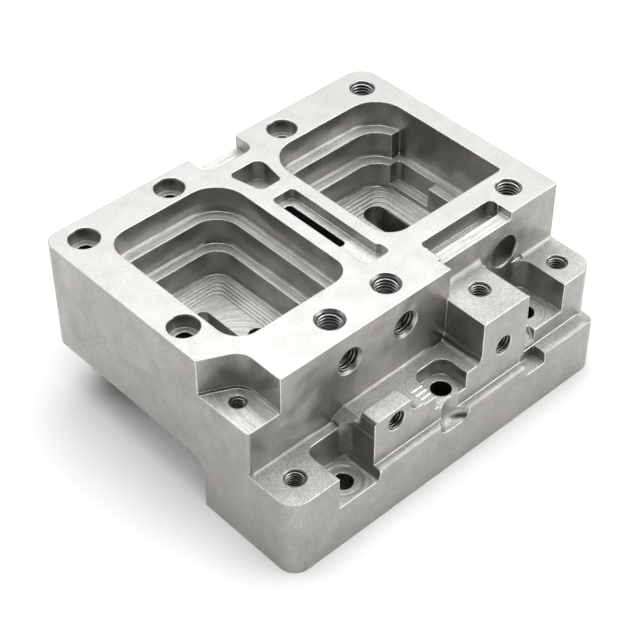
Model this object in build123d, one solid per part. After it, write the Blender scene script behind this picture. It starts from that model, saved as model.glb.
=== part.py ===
from build123d import *
import math
import os

# Machined aluminium housing, milled from one billet. Sizes are in millimetres.
# X runs along the long front face, Y towards the back and Z up. While it is modelled, the
# zero point is the front left bottom corner, where the machinist would set the datum. The
# last step moves the origin to the middle of the underside.

# Billet
LENGTH = 167.0
WIDTH = 139.0
HEIGHT = 75.0
BACK_LEFT_ROUND = 5.5
BACK_RIGHT_ROUND = 9.0

# Feet and the overhang between them
FRONT_FOOT_DEPTH = 48.9
REAR_FOOT_DEPTH = 33.0
REAR_FOOT_INSET = 20.0
UNDERSIDE = 24.7
FOOT_COVE = 8.0
FOOT_LEFT_ROUND = 7.5
FOOT_RIGHT_ROUND = 9.0

# Upper block: front wall, and the stretch of it set back on the right
FRONT_WALL = 22.7
RECESSED_WALL = 29.6
RECESS_LEFT = 100.2
FRONT_EDGE_ROUND = 1.5

# Terrace in front of the upper block, with its heights
LEFT_PAD_TOP = 37.0
LEDGE_TOP = 41.0
LIP_TOP = 26.0
LIP_DEPTH = 3.5
LIP_ROUND = 2.0
RIGHT_LIP_DEPTH = 6.5
RAMP_LEFT = 40.0
RAMP_RUN = 6.0
RAMP_FOOT = 1.3
LEDGE_COVE = 1.4
PAD_COVE = 1.2

# Pocket 1, left of the small block
POCKET_1_LEFT = 22.6
POCKET_1_RIGHT = 43.2
POCKET_1_BACK = 18.6
POCKET_1_FLOOR = 21.3
POCKET_1_ROUND = 4.5
POCKET_1_COVE = 2.6

# Small block on the ledge
BLOCK_1_RIGHT = 61.3
BLOCK_1_BACK = 11.0
BLOCK_1_TOP = 47.7
BLOCK_1_EDGE_ROUND = 1.9
BLOCK_1_SIDE_COVE = 4.6
BLOCK_1_REAR_COVE = 3.0

# Pocket 2, between the blocks, and the fine steps beside it
POCKET_2_LEFT = 74.7
POCKET_2_RIGHT = 91.3
POCKET_2_BACK = 16.7
POCKET_2_FLOOR = 33.2
POCKET_2_ROUND = 5.0
SKIM_LEFT = 68.6
SKIM_BACK = 10.4
SKIM_STEPS = 3
SKIM_STEP_WIDTH = 2.2
SKIM_STEP_HEIGHT = 0.35

# Tall block
BLOCK_2_LEFT = 99.3
BLOCK_2_RIGHT = 124.0
BLOCK_2_TOP = 60.1
BLOCK_2_SIDE_COVE = 3.6
BLOCK_2_REAR_COVE = 2.5
BLOCK_2_EDGE_ROUND = 1.2

# Pocket 3 and the right pad, the pad measured from the right face
RIGHT_PAD_WIDTH = 18.0
RIGHT_PAD_TOP = 48.0
RIGHT_PAD_ROUND = 7.5
RIGHT_PAD_COVE = 2.0
POCKET_3_FLOOR = 34.0
POCKET_3_ROUND = 6.0
SLOPE_WIDTH = 9.4
SLOPE_TOP_Y = 10.1
SLOPE_FOOT_Y = 5.0
SLOPE_DROP = 9.6
LIP_END_RUN = 8.5
LIP_END_DROP = 5.0

# Round notches milled into the lip
NOTCH_1_X = 82.7
NOTCH_1_Y = -4.4
NOTCH_1_RADIUS = 9.0
NOTCH_1_FLOOR = 21.0
NOTCH_1_COVE = 4.0
NOTCH_2_LEFT = 121.9
NOTCH_2_RIGHT = 133.4
NOTCH_2_BACK = 6.3
NOTCH_2_ROUND = 5.0
NOTCH_2_FLOOR = 20.8
NOTCH_2_TOP = 29.0
NOTCH_2_COVE = 2.5
LIP_CHAMFER_LEFT = 77.2
LIP_CHAMFER_RIGHT = 84.8
LIP_CHAMFER = 1.6

# Notch at the front left corner of the upper block
CORNER_NOTCH_FLOOR = 58.5
CORNER_NOTCH_RIGHT = 15.6
CORNER_NOTCH_SIDE_Y = 49.6
CORNER_NOTCH_BEND_Y = 42.0
CORNER_NOTCH_ROUND = 8.0

# Stepped pockets. Each level is one depth of cut, down from the top face. The cutter's teeth have
# broken corners, which leave a small slope where a wall meets the floor of its cut.
LEVEL_DEPTH = 11.5
LEVEL_COUNT = 3
CUTTER_SLOPE = 0.8
FLOOR_DEPTH = 38.0
FINE_STEPS = 5

LEFT_POCKET_LEFT = 16.1
LEFT_POCKET_RIGHT = 73.0
LEFT_POCKET_FRONT = 46.5
LEFT_POCKET_BACK_WALL = 16.6
LEFT_POCKET_LEDGE = 4.9
LEFT_POCKET_ROUNDS = (10.0, 9.0, 14.8, 10.0)
LEFT_LEVEL_ROUND_LOSS = 3.1
LEFT_STEPS_INSET = 3.4
LEFT_STEP_PITCHES = (1.1, 1.1)
LEFT_STEP_ROUNDS = (10.0, 5.0, 4.0, 8.0)
LEFT_SLOT_LEFT = 24.0
LEFT_SLOT_RIGHT = 44.9
LEFT_SLOT_FRONT = 60.0
LEFT_SLOT_BACK = 100.8
LEFT_SLOT_ROUND = 3.0
LEFT_DRAIN_X = 51.0
LEFT_DRAIN_Y = 76.0
LEFT_DRAIN_DIAMETER = 7.0

RIGHT_POCKET_LEFT = 95.6
RIGHT_POCKET_RIGHT_WALL = 9.2
RIGHT_POCKET_FRONT = 50.4
RIGHT_POCKET_BACK_WALL = 18.4
RIGHT_POCKET_SIDE_LEDGE = 4.3
RIGHT_POCKET_BACK_LEDGE = 5.2
RIGHT_POCKET_ROUNDS = (9.5, 2.0, 14.5, 14.0)
RIGHT_LEVEL_ROUND_LOSS = 2.0
RIGHT_STEPS_INSETS = (1.1, 3.6)
RIGHT_STEP_PITCHES = (2.0, 1.5)
RIGHT_STEP_ROUNDS = (9.5, 4.0, 5.0, 9.5)
CORNER_COLUMN_END = 106.4
SIDE_RECESS_FRONT = 81.0
SIDE_RECESS_BACK = 102.8
SIDE_RECESS_STRIP = 3.7
SIDE_RECESS_ROUND = 2.0
SIDE_RECESS_RISE = 2.0
RIGHT_SLOT_LEFT = 129.8
RIGHT_SLOT_RIGHT = 139.9
RIGHT_SLOT_FRONT = 62.0
RIGHT_SLOT_BACK = 101.2
RIGHT_SLOT_ROUND = 4.5

# Recess in the rib between the pockets, with a slot through it
RIB_RECESS_LEFT = 78.8
RIB_RECESS_RIGHT = 89.9
RIB_RECESS_FRONT = 45.3
RIB_RECESS_BACK = 98.2
RIB_RECESS_DEPTH = 4.7
RIB_RECESS_ROUND = 2.5
RIB_BULGE = 1.4
RIB_BULGE_LENGTH = 6.7
RIB_SLOT_LEFT = 82.0
RIB_SLOT_RIGHT = 86.1
RIB_SLOT_FRONT = 63.5
RIB_SLOT_BACK = 95.3
RIB_SLOT_ROUND = 1.9

# Lightening pocket behind the rib, which narrows towards the front
LIGHTENING_LEFT = 76.3
LIGHTENING_RIGHT = 93.3
LIGHTENING_BACK_WALL = 17.9
LIGHTENING_RUN = 16.1
LIGHTENING_LEFT_TAPER = 3.7
LIGHTENING_RIGHT_TAPER = 3.0
LIGHTENING_ROUNDS = (3.0, 2.0, 4.2, 2.8)
LIGHTENING_DEPTH = 9.0

# Open slot along the set-back wall
WALL_SLOT_LEFT = 101.8
WALL_SLOT_RIGHT = 140.8
WALL_SLOT_FRONT = 35.4
WALL_SLOT_BACK = 40.8
WALL_SLOT_ROUND = 2.6
WALL_SLOT_DEPTH = 7.5
WALL_STRIP_DEPTH = 3.5

# Notch in the back edge
BACK_NOTCH_LEFT = 71.0
BACK_NOTCH_RIGHT = 96.0
BACK_NOTCH_RUN = 11.6
BACK_NOTCH_DEPTH = 6.7
BACK_NOTCH_ROUND = 4.5

# Threaded holes, bored to the size that the thread is cut out to, with a countersunk mouth
M6_DIAMETER = 6.0
M8_DIAMETER = 8.0
M10_DIAMETER = 10.0
MOUTH_CHAMFER = 0.4
LARGE_MOUTH_CHAMFER = 1.0
M6_DEPTH = 12.0
M8_DEPTH = 16.0
M8_SHORT_DEPTH = 12.0
M8_BLOCK_1_DEPTH = 6.5
M10_DEPTH = 18.0

# Plain holes
CLEARANCE_DIAMETER = 8.2
SPOTFACE_DIAMETER = 15.0
SPOTFACE_DEPTH = 0.6
SCREW_HOLE_DIAMETER = 6.8
COUNTERBORE_DIAMETER = 12.0
COUNTERBORE_DEPTH = 6.2
CROSS_BORE_DIAMETER = 14.0
CROSS_BORE_X = 138.6
CROSS_BORE_Z = 56.6
CROSS_BORE_CHAMFER = 0.5

# Hole centres
LEFT_PAD_HOLE = (11.6, 11.4)
CORNER_NOTCH_HOLE = (8.2, 37.2)
BLOCK_1_HOLE_X = 54.4
BLOCK_1_HOLE_DROP = 6.0
BLOCK_2_HOLE = (112.7, 18.6)
BLOCK_2_FRONT_HOLE_X = 111.4
BLOCK_2_FRONT_HOLE_Z = 42.5
RIGHT_PAD_HOLE_INSET = 10.0
RIGHT_PAD_HOLE_Y = 17.5
PORT_XS = (49.0, 77.2)
PORT_TOP_Y = 33.4
PORT_FRONT_DROP = 13.3
FRONT_RIGHT_TOP_HOLE_INSET = 15.5
FRONT_RIGHT_TOP_HOLE_Y = 41.0
BACK_RIGHT_TOP_HOLE_INSETS = (11.0, 11.5)
POCKET_1_HOLE = (32.9, 9.1)
POCKET_2_HOLE = (84.2, 9.7)
POCKET_3_HOLE = (138.0, 16.4)
LEFT_WALL_SCREW = (8.6, 66.3)
BACK_LEFT_SCREW = (12.1, 10.0)
BACK_MIDDLE_SCREW = (54.8, 8.2)
BACK_RIGHT_SCREW = (112.6, 9.6)

# Overrun that lets a cutter leave the metal cleanly, and the root by which added metal enters
OVERRUN = 1.0
ROOT = 1.0


def outline(*corners):
    """Closed face through corners given as (x, y, round)."""
    spans = []
    for index, (x, y, radius) in enumerate(corners):
        here = Vector(x, y)
        before = Vector(*corners[index - 1][:2])
        after = Vector(*corners[(index + 1) % len(corners)][:2])
        back = (before - here).normalized()
        ahead = (after - here).normalized()
        if radius == 0:
            spans.append((here, None, here))
            continue
        half = math.radians(back.get_angle(ahead) / 2)
        reach = radius / math.tan(half)
        crest = here + (back + ahead).normalized() * (radius / math.sin(half) - radius)
        spans.append((here + back * reach, crest, here + ahead * reach))
    edges = []
    for index, (start, crest, end) in enumerate(spans):
        if crest is not None:
            edges.append(ThreePointArc(start, crest, end))
        following = spans[(index + 1) % len(spans)][0]
        if (following - end).length > 1e-6:
            edges.append(Line(end, following))
    return make_face(edges)


def rectangle(left, right, front, back, rounds=(0, 0, 0, 0)):
    """Plan corners of a rectangle, rounded front left, front right, back right, back left."""
    points = ((left, front), (right, front), (right, back), (left, back))
    return [(x, y, radius) for (x, y), radius in zip(points, rounds)]


def prism(corners, bottom, top):
    """Plan outline standing from one height to another."""
    return Pos(0, 0, bottom) * extrude(outline(*corners), top - bottom, dir=(0, 0, 1))


def front_prism(corners, front, back):
    """Outline drawn in the front view, as (x, z, round), taken from front to back."""
    face = Plane.XZ * outline(*corners)
    return Pos(0, front, 0) * extrude(face, back - front, dir=(0, 1, 0))


def side_prism(corners, left, right):
    """Outline drawn in the side view, as (y, z, round), taken from left to right."""
    face = Plane.YZ * outline(*corners)
    return Pos(left, 0, 0) * extrude(face, right - left, dir=(1, 0, 0))


def cove(wall, floor, radius, side=-1):
    """Corners of the metal left in an inside corner by the round of a cutter."""
    return (
        (wall - side * ROOT, floor - ROOT, 0),
        (wall + side * (radius + ROOT), floor - ROOT, 0),
        (wall + side * (radius + ROOT), floor, 0),
        (wall, floor, radius),
        (wall, floor + radius + ROOT, 0),
        (wall - side * ROOT, floor + radius + ROOT, 0),
    )


def bore(x, y, top, depth, diameter, countersink=0.0):
    """Round hole down from a face, with a countersunk mouth."""
    radius = diameter / 2
    hole = Pos(x, y, top - depth / 2 + OVERRUN / 2) * Cylinder(radius, depth + OVERRUN)
    if countersink > 0:
        lip = countersink + OVERRUN
        mouth = Cone(radius - OVERRUN, radius + lip, OVERRUN + lip)
        hole += Pos(x, y, top - countersink + (lip - OVERRUN) / 2) * mouth
    return hole


def front_bore(x, face, z, depth, diameter, countersink=0.0):
    """Round hole that enters a front wall and runs to the back."""
    hole = bore(0, 0, 0, depth, diameter, countersink)
    return Pos(x, face, z) * Rot(90, 0, 0) * hole


def round_cutter(x, y, floor, top, radius, corner):
    """Space swept by an end mill with a corner radius, standing upright."""
    section = outline((0, floor, 0), (radius, floor, corner), (radius, top, 0), (0, top, 0))
    return Pos(x, y, 0) * revolve(Plane.XZ * section, Axis.Z)


def upper_block():
    """Main block with the two stepped pockets still to be cut."""
    plan = (
        (0, FRONT_WALL, FRONT_EDGE_ROUND),
        (RECESS_LEFT, FRONT_WALL, 0),
        (RECESS_LEFT, RECESSED_WALL, 0),
        (LENGTH, RECESSED_WALL, 0),
        (LENGTH, WIDTH, BACK_RIGHT_ROUND),
        (0, WIDTH, BACK_LEFT_ROUND),
    )
    return prism(plan, UNDERSIDE, HEIGHT)


def terrace_profile(ledge):
    """Front view of the terrace behind the lip, without the parts that stand on it."""
    return (
        (0, 0, 0),
        (LENGTH, 0, 0),
        (LENGTH, POCKET_3_FLOOR, 0),
        (BLOCK_2_RIGHT, POCKET_3_FLOOR, 0),
        (BLOCK_2_RIGHT, BLOCK_2_TOP, BLOCK_2_EDGE_ROUND),
        (BLOCK_2_LEFT, BLOCK_2_TOP, 0),
        (BLOCK_2_LEFT, ledge, BLOCK_2_SIDE_COVE),
        (RAMP_LEFT + RAMP_RUN, ledge, 0),
        (RAMP_LEFT, LEFT_PAD_TOP + RAMP_FOOT, 0),
        (RAMP_LEFT, LEFT_PAD_TOP, 0),
        (0, LEFT_PAD_TOP, 0),
    )


def front_foot():
    """Foot, lip, ledge and the blocks that stand on the ledge."""
    lip = side_prism(
        (
            (0, 0, 0),
            (FRONT_FOOT_DEPTH, 0, 0),
            (FRONT_FOOT_DEPTH, LIP_TOP, 0),
            (0, LIP_TOP, LIP_ROUND),
        ),
        0,
        LENGTH,
    )
    terrace = front_prism(terrace_profile(LEDGE_TOP), LIP_DEPTH, RECESSED_WALL + ROOT)
    left_pad = prism(rectangle(0, POCKET_1_RIGHT, 0, FRONT_WALL), 0, LEFT_PAD_TOP)
    right_rounds = (0, RIGHT_PAD_ROUND, 0, 0)
    right_plan = rectangle(
        BLOCK_2_RIGHT, LENGTH, RIGHT_LIP_DEPTH, RECESSED_WALL + ROOT, right_rounds
    )
    pad_plan = rectangle(
        LENGTH - RIGHT_PAD_WIDTH, LENGTH, RIGHT_LIP_DEPTH, RECESSED_WALL + ROOT, right_rounds
    )
    step_plan = rectangle(BLOCK_2_RIGHT, LENGTH + OVERRUN, -OVERRUN, RECESSED_WALL)
    lip_end = (
        (LENGTH - LIP_END_RUN, LIP_TOP, 0),
        (LENGTH, LIP_TOP - LIP_END_DROP, 0),
        (LENGTH, LIP_TOP + OVERRUN, 0),
        (LENGTH - LIP_END_RUN, LIP_TOP + OVERRUN, 0),
    )
    step = prism(step_plan, LIP_TOP, HEIGHT) + front_prism(lip_end, -OVERRUN, RECESSED_WALL)
    step -= prism(right_plan, 0, HEIGHT)
    right_pad = prism(pad_plan, POCKET_3_FLOOR - ROOT, RIGHT_PAD_TOP)
    plan = prism(
        rectangle(0, LENGTH, 0, FRONT_FOOT_DEPTH, (FOOT_LEFT_ROUND, FOOT_RIGHT_ROUND, 0, 0)),
        0,
        HEIGHT,
    )
    return ((lip + terrace + left_pad - step) & plan) + right_pad


def rear_foot():
    """Plain foot under the back of the overhang."""
    left = REAR_FOOT_INSET
    right = LENGTH - REAR_FOOT_INSET
    front = WIDTH - REAR_FOOT_DEPTH
    foot = prism(
        rectangle(left, right, front, WIDTH, (FOOT_LEFT_ROUND, FOOT_LEFT_ROUND, 0, 0)),
        0,
        UNDERSIDE + ROOT,
    )
    return foot


def underside_coves():
    """Large round between the front foot and the overhang."""
    corner = (
        (FRONT_FOOT_DEPTH - ROOT, UNDERSIDE + ROOT, 0),
        (FRONT_FOOT_DEPTH - ROOT, UNDERSIDE - FOOT_COVE - ROOT, 0),
        (FRONT_FOOT_DEPTH, UNDERSIDE - FOOT_COVE - ROOT, 0),
        (FRONT_FOOT_DEPTH, UNDERSIDE, FOOT_COVE),
        (FRONT_FOOT_DEPTH + FOOT_COVE + ROOT, UNDERSIDE, 0),
        (FRONT_FOOT_DEPTH + FOOT_COVE + ROOT, UNDERSIDE + ROOT, 0),
    )
    return side_prism(corner, 0, LENGTH)


def block_1():
    """Small block on the ledge, with coves behind it and on its right."""
    block = front_prism(
        (
            (POCKET_1_RIGHT, LEDGE_TOP - ROOT, 0),
            (BLOCK_1_RIGHT + BLOCK_1_SIDE_COVE + ROOT, LEDGE_TOP - ROOT, 0),
            (BLOCK_1_RIGHT + BLOCK_1_SIDE_COVE + ROOT, LEDGE_TOP, 0),
            (BLOCK_1_RIGHT, LEDGE_TOP, BLOCK_1_SIDE_COVE),
            (BLOCK_1_RIGHT, BLOCK_1_TOP, 0),
            (POCKET_1_RIGHT, BLOCK_1_TOP, BLOCK_1_EDGE_ROUND),
        ),
        LIP_DEPTH,
        BLOCK_1_BACK,
    )
    rear = side_prism(
        cove(BLOCK_1_BACK, LEDGE_TOP, BLOCK_1_REAR_COVE, 1), POCKET_1_RIGHT, BLOCK_1_RIGHT
    )
    return block + rear


def wall_coves():
    """Small rounds where the terrace meets the upper block."""
    ramp_right = RAMP_LEFT + RAMP_RUN
    return [
        side_prism(cove(FRONT_WALL, LEFT_PAD_TOP, PAD_COVE), FRONT_EDGE_ROUND, RAMP_LEFT),
        side_prism(cove(FRONT_WALL, LEDGE_TOP, LEDGE_COVE), ramp_right, BLOCK_2_LEFT),
        side_prism(
            cove(RECESSED_WALL, BLOCK_2_TOP, BLOCK_2_REAR_COVE), RECESS_LEFT, BLOCK_2_RIGHT
        ),
        side_prism(
            cove(RECESSED_WALL, RIGHT_PAD_TOP, RIGHT_PAD_COVE), LENGTH - RIGHT_PAD_WIDTH, LENGTH
        ),
    ]


def stepped_levels():
    """Bottom and top of each level of the stepped pockets."""
    return [
        (HEIGHT - (level + 1) * LEVEL_DEPTH, HEIGHT - level * LEVEL_DEPTH)
        for level in range(LEVEL_COUNT)
    ]


def sloped_cutter(corners, bottom, top):
    """Pocket to be cut down to a floor, with a small slope all round the floor."""
    cutter = prism(corners, bottom, top + CUTTER_SLOPE + OVERRUN)
    return chamfer(cutter.edges().group_by(Axis.Z)[0], CUTTER_SLOPE)


def fine_steps(start, first, pitches, rounds):
    """Fine steps that the finishing cuts left round the floor of a stepped pocket."""
    top = HEIGHT - LEVEL_COUNT * LEVEL_DEPTH
    rise = (top - (HEIGHT - FLOOR_DEPTH)) / FINE_STEPS
    left, front = start
    cuts = []
    for step in range(FINE_STEPS):
        right = first[0] - step * pitches[0]
        back = first[1] - step * pitches[1]
        corners = rectangle(left, right, front, back, rounds)
        cuts.append(prism(corners, top - (step + 1) * rise, top - step * rise + OVERRUN))
    return cuts


def left_pocket():
    """Stepped pocket on the left, whose left and front walls run straight down."""
    cuts = []
    back_wall = WIDTH - LEFT_POCKET_BACK_WALL
    front_left, front_right, back_right, back_left = LEFT_POCKET_ROUNDS
    for level, (bottom, top) in enumerate(stepped_levels()):
        inset = level * LEFT_POCKET_LEDGE
        right = LEFT_POCKET_RIGHT - inset
        back = back_wall - inset
        rounds = (front_left, front_right, back_right - level * LEFT_LEVEL_ROUND_LOSS, back_left)
        corners = rectangle(LEFT_POCKET_LEFT, right, LEFT_POCKET_FRONT, back, rounds)
        cuts.append(sloped_cutter(corners, bottom, top))
    first = (right - LEFT_STEPS_INSET, back - LEFT_STEPS_INSET)
    cuts += fine_steps(
        (LEFT_POCKET_LEFT, LEFT_POCKET_FRONT), first, LEFT_STEP_PITCHES, LEFT_STEP_ROUNDS
    )
    slot = rectangle(
        LEFT_SLOT_LEFT, LEFT_SLOT_RIGHT, LEFT_SLOT_FRONT, LEFT_SLOT_BACK, (LEFT_SLOT_ROUND,) * 4
    )
    cuts.append(prism(slot, UNDERSIDE - OVERRUN, HEIGHT - FLOOR_DEPTH + OVERRUN))
    cuts.append(
        bore(
            LEFT_DRAIN_X,
            LEFT_DRAIN_Y,
            HEIGHT - FLOOR_DEPTH,
            HEIGHT - FLOOR_DEPTH - UNDERSIDE + OVERRUN,
            LEFT_DRAIN_DIAMETER,
        )
    )
    return cuts


def right_pocket():
    """Stepped pocket on the right, with a corner column and a recess in its right side."""
    right_wall = LENGTH - RIGHT_POCKET_RIGHT_WALL
    back_wall = WIDTH - RIGHT_POCKET_BACK_WALL
    front_left, front_right, back_right, back_left = RIGHT_POCKET_ROUNDS
    cuts = []
    for level, (bottom, top) in enumerate(stepped_levels()):
        right = right_wall - level * RIGHT_POCKET_SIDE_LEDGE
        back = back_wall - level * RIGHT_POCKET_BACK_LEDGE
        round_loss = level * RIGHT_LEVEL_ROUND_LOSS
        rounds = (front_left, front_right, back_right - round_loss, back_left)
        corners = rectangle(RIGHT_POCKET_LEFT, right, RIGHT_POCKET_FRONT, back, rounds)
        cuts.append(sloped_cutter(corners, bottom, top))
    first = (right - RIGHT_STEPS_INSETS[0], back - RIGHT_STEPS_INSETS[1])
    cuts += fine_steps(
        (RIGHT_POCKET_LEFT, RIGHT_POCKET_FRONT), first, RIGHT_STEP_PITCHES, RIGHT_STEP_ROUNDS
    )
    _, (middle_bottom, middle_top), (low_bottom, low_top) = stepped_levels()
    side = rectangle(
        right - 2 * RIGHT_POCKET_SIDE_LEDGE,
        right_wall,
        RIGHT_POCKET_FRONT,
        CORNER_COLUMN_END,
        (0, front_right, 0, 0),
    )
    cuts.append(sloped_cutter(side, middle_bottom, middle_top))
    recess = rectangle(
        right - RIGHT_POCKET_SIDE_LEDGE,
        right_wall - SIDE_RECESS_STRIP,
        SIDE_RECESS_FRONT,
        SIDE_RECESS_BACK,
        (0, SIDE_RECESS_ROUND, SIDE_RECESS_ROUND, 0),
    )
    cuts.append(prism(recess, low_bottom + SIDE_RECESS_RISE, low_top + OVERRUN))
    slot = rectangle(
        RIGHT_SLOT_LEFT,
        RIGHT_SLOT_RIGHT,
        RIGHT_SLOT_FRONT,
        RIGHT_SLOT_BACK,
        (RIGHT_SLOT_ROUND,) * 4,
    )
    cuts.append(prism(slot, UNDERSIDE - OVERRUN, HEIGHT - FLOOR_DEPTH + OVERRUN + ROOT))
    return cuts


def top_recesses():
    """Shallow recesses, slots and notches cut from the top face."""
    above = HEIGHT + OVERRUN
    recess = rectangle(
        RIB_RECESS_LEFT,
        RIB_RECESS_RIGHT,
        RIB_RECESS_FRONT,
        RIB_RECESS_BACK,
        (RIB_RECESS_ROUND,) * 4,
    )
    bulge = rectangle(
        RIB_RECESS_LEFT,
        RIB_RECESS_RIGHT + RIB_BULGE,
        RIB_RECESS_FRONT,
        RIB_RECESS_FRONT + RIB_BULGE_LENGTH,
        (RIB_RECESS_ROUND,) * 4,
    )
    slot = rectangle(
        RIB_SLOT_LEFT, RIB_SLOT_RIGHT, RIB_SLOT_FRONT, RIB_SLOT_BACK, (RIB_SLOT_ROUND,) * 4
    )
    front_left, front_right, back_right, back_left = LIGHTENING_ROUNDS
    back = WIDTH - LIGHTENING_BACK_WALL
    front = back - LIGHTENING_RUN
    lightening = (
        (LIGHTENING_LEFT + LIGHTENING_LEFT_TAPER, front, front_left),
        (LIGHTENING_RIGHT - LIGHTENING_RIGHT_TAPER, front, front_right),
        (LIGHTENING_RIGHT, back, back_right),
        (LIGHTENING_LEFT, back, back_left),
    )
    wall_slot = rectangle(
        WALL_SLOT_LEFT, WALL_SLOT_RIGHT, WALL_SLOT_FRONT, WALL_SLOT_BACK, (WALL_SLOT_ROUND,) * 4
    )
    strip = rectangle(
        WALL_SLOT_LEFT, WALL_SLOT_RIGHT, RECESSED_WALL - OVERRUN, WALL_SLOT_FRONT + OVERRUN
    )
    back_notch = rectangle(
        BACK_NOTCH_LEFT,
        BACK_NOTCH_RIGHT,
        WIDTH - BACK_NOTCH_RUN,
        WIDTH + OVERRUN,
        (BACK_NOTCH_ROUND, BACK_NOTCH_ROUND, 0, 0),
    )
    corner_notch = (
        (-OVERRUN, CORNER_NOTCH_SIDE_Y + OVERRUN / 2, 0),
        (-OVERRUN, FRONT_WALL - OVERRUN, 0),
        (CORNER_NOTCH_RIGHT, FRONT_WALL - OVERRUN, 0),
        (CORNER_NOTCH_RIGHT, CORNER_NOTCH_BEND_Y, CORNER_NOTCH_ROUND),
    )
    return [
        prism(recess, HEIGHT - RIB_RECESS_DEPTH, above),
        prism(bulge, HEIGHT - RIB_RECESS_DEPTH, above),
        prism(slot, UNDERSIDE - OVERRUN, above),
        prism(lightening, HEIGHT - LIGHTENING_DEPTH, above),
        prism(wall_slot, HEIGHT - WALL_SLOT_DEPTH, above),
        prism(strip, HEIGHT - WALL_STRIP_DEPTH, above),
        prism(back_notch, HEIGHT - BACK_NOTCH_DEPTH, above),
        sloped_cutter(corner_notch, CORNER_NOTCH_FLOOR, HEIGHT),
    ]


def notch_2():
    """Notch in the lip beside the tall block, rounded on its left and square on its right."""
    top = RIGHT_PAD_TOP
    plan = rectangle(
        NOTCH_2_LEFT, NOTCH_2_RIGHT, -OVERRUN, NOTCH_2_BACK, (0, 0, 0, NOTCH_2_ROUND)
    )
    front = rectangle(
        NOTCH_2_LEFT, NOTCH_2_RIGHT, NOTCH_2_FLOOR, top, (NOTCH_2_COVE, 0, 0, 0)
    )
    side = rectangle(-OVERRUN, NOTCH_2_BACK, NOTCH_2_FLOOR, NOTCH_2_TOP)
    return prism(plan, 0, top) & front_prism(front, -OVERRUN, NOTCH_2_BACK) & side_prism(
        side, NOTCH_2_LEFT, NOTCH_2_RIGHT
    )


def front_pockets():
    """Pockets and notches of the terrace."""
    above = HEIGHT + OVERRUN
    pocket_1 = rectangle(
        POCKET_1_LEFT,
        POCKET_1_RIGHT,
        -OVERRUN,
        POCKET_1_BACK,
        (0, 0, POCKET_1_ROUND, POCKET_1_ROUND),
    )
    pocket_2 = rectangle(
        POCKET_2_LEFT,
        POCKET_2_RIGHT,
        -OVERRUN,
        POCKET_2_BACK,
        (0, 0, POCKET_2_ROUND, POCKET_2_ROUND),
    )
    slope = (
        (SLOPE_TOP_Y, POCKET_3_FLOOR, 0),
        (SLOPE_FOOT_Y, POCKET_3_FLOOR - SLOPE_DROP, 0),
        (-OVERRUN, POCKET_3_FLOOR - SLOPE_DROP, 0),
        (-OVERRUN, POCKET_3_FLOOR + OVERRUN, 0),
        (SLOPE_TOP_Y, POCKET_3_FLOOR + OVERRUN, 0),
    )
    broken_lip = (
        (LIP_DEPTH + LIP_CHAMFER, POCKET_2_FLOOR, 0),
        (LIP_DEPTH, POCKET_2_FLOOR - LIP_CHAMFER, 0),
        (LIP_DEPTH - OVERRUN, POCKET_2_FLOOR - LIP_CHAMFER, 0),
        (LIP_DEPTH - OVERRUN, POCKET_2_FLOOR + OVERRUN, 0),
        (LIP_DEPTH + LIP_CHAMFER, POCKET_2_FLOOR + OVERRUN, 0),
    )
    cuts = [
        prism(pocket_1, POCKET_1_FLOOR, BLOCK_1_TOP),
        prism(pocket_2, POCKET_2_FLOOR, LEDGE_TOP + OVERRUN),
        round_cutter(
            NOTCH_1_X, NOTCH_1_Y, NOTCH_1_FLOOR, POCKET_2_FLOOR + OVERRUN, NOTCH_1_RADIUS,
            NOTCH_1_COVE,
        ),
        notch_2(),
        side_prism(slope, BLOCK_2_RIGHT, BLOCK_2_RIGHT + SLOPE_WIDTH),
        side_prism(broken_lip, LIP_CHAMFER_LEFT, LIP_CHAMFER_RIGHT),
    ]
    for step in range(SKIM_STEPS):
        skim = rectangle(
            SKIM_LEFT,
            POCKET_2_LEFT + OVERRUN,
            LIP_DEPTH - OVERRUN,
            SKIM_BACK - step * SKIM_STEP_WIDTH,
        )
        cuts.append(prism(skim, LEDGE_TOP - (step + 1) * SKIM_STEP_HEIGHT, LEDGE_TOP + OVERRUN))
    return cuts


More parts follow.
